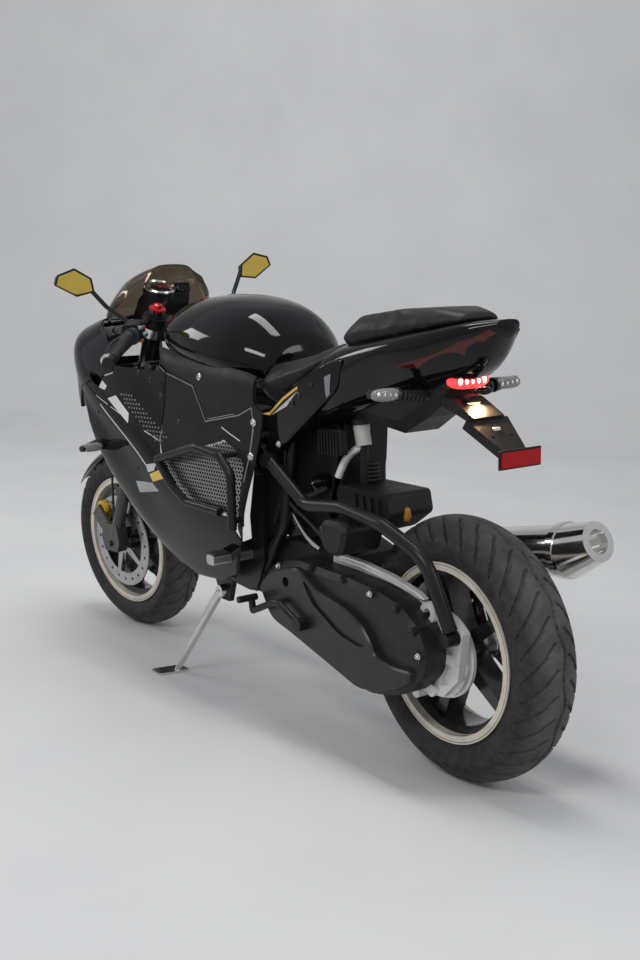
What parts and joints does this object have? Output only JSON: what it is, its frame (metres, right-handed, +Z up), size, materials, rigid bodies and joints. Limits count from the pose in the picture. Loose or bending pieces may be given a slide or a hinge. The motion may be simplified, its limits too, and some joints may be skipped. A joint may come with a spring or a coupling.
{
  "type": "automatic sport bike",
  "caption": "Full-fairing automatic sport bike with swinging drive unit, twin seats and clip-on bars, parked on its side stand with the bars turned left.",
  "frame": {"origin": "floor level, at the middle of the whole bike's length and width as parked", "axes": "+X forward, +Y to the rider's left, +Z up; the bike leans 4 degrees to the left on its side stand"},
  "size_m": [2.0125, 0.7466, 1.1248],
  "materials": {
    "gloss_black": "deep gloss paint on moulded plastic",
    "satin_black": "satin grained",
    "matte_black": "matte grained",
    "seat_vinyl": "matte black vinyl cover",
    "tyre": "worn rubber",
    "wheel_black": "satin black, cream rim lip",
    "disc_steel": "turned",
    "frame_black": "satin powder coat",
    "case_black": "satin black casting",
    "cast_silver": "sand cast, painted silver",
    "machined_silver": "machined",
    "slider_grey": "satin dark grey",
    "fork_black": "gloss black",
    "exhaust_steel": "polished stainless",
    "bright_steel": "bright plated",
    "caliper_yellow": "gloss yellow",
    "grip_rubber": "ribbed",
    "mirror_gold": "gold tinted",
    "screen_smoke": "smoked",
    "lamp_clear": "clear",
    "lamp_red": "red lens",
    "reflector_red": "prismatic red",
    "signal_body": "black body, clear lens",
    "cap_blue": "blue grey anodised",
    "bottle_white": "translucent white",
    "grille_steel": "dark metallic mesh",
    "peg_alloy": "cast with rubber top"
  },
  "bodies": {
    "chassis": {"main_frame": "frame_black", "engine_block": "case_black", "cvt_case": "case_black", "cvt_guard": "satin_black", "final_drive_case": "cast_silver", "kick_lever": "frame_black", "swingarm_right": "frame_black", "strut_left": "frame_black", "rear_shock": "frame_black", "airbox": "matte_black", "fluid_bottle": "bottle_white", "exhaust": "exhaust_steel", "upper_fairing": "gloss_black", "headlamps": "lamp_clear", "side_fairings": "gloss_black", "knee_panels": "satin_black", "side_covers": "matte_black", "side_grilles": "grille_steel", "crash_bars": "frame_black", "tank": "gloss_black", "tank_cap": "cap_blue", "rider_seat": "seat_vinyl", "passenger_seat": "seat_vinyl", "tail_fairing": "gloss_black", "tail_lamps": "lamp_red", "undertail": "matte_black", "rear_reflector": "reflector_red", "turn_signals": "signal_body", "windscreen": "screen_smoke", "instrument_pod": "matte_black", "foot_pegs": "peg_alloy"},
    "steering": {"triple_clamps": "machined_silver", "fork_tubes": "fork_black", "fork_sliders": "slider_grey", "front_fender": "gloss_black", "front_calipers": "caliper_yellow", "handlebars": "frame_black", "grips": "grip_rubber", "levers": "machined_silver", "mirror_heads": "gloss_black", "mirror_glass": "mirror_gold"},
    "front_wheel": {"front_rim": "wheel_black", "front_tyre": "tyre", "front_discs": "disc_steel"},
    "rear_wheel": {"rear_rim": "wheel_black", "rear_tyre": "tyre", "rear_disc": "disc_steel"},
    "side_stand": {"side_stand": "bright_steel"}
  },
  "joints": [
    {"name": "steering_turn", "type": "hinge", "parent": "chassis", "child": "steering", "pos_m": [0.83004, -0.07081, 0.00019], "axis": [-0.4226, 0.0632, 0.9041], "range_deg": [-32.3, 17.7]},
    {"name": "front_wheel_spin", "type": "hinge", "parent": "steering", "child": "front_wheel", "pos_m": [0.73981, -0.04821, 0.26627], "axis": [-0.1152, 0.9857, -0.1228], "continuous": true},
    {"name": "rear_wheel_spin", "type": "hinge", "parent": "chassis", "child": "rear_wheel", "pos_m": [-0.72496, -0.05119, 0.28081], "axis": [0, 0.9976, -0.0698], "continuous": true},
    {"name": "side_stand_fold", "type": "hinge", "parent": "chassis", "child": "side_stand", "pos_m": [0.05504, 0.07116, 0.2529], "axis": [0, 0.9976, -0.0698], "range_deg": [0, 100]}
  ]
}
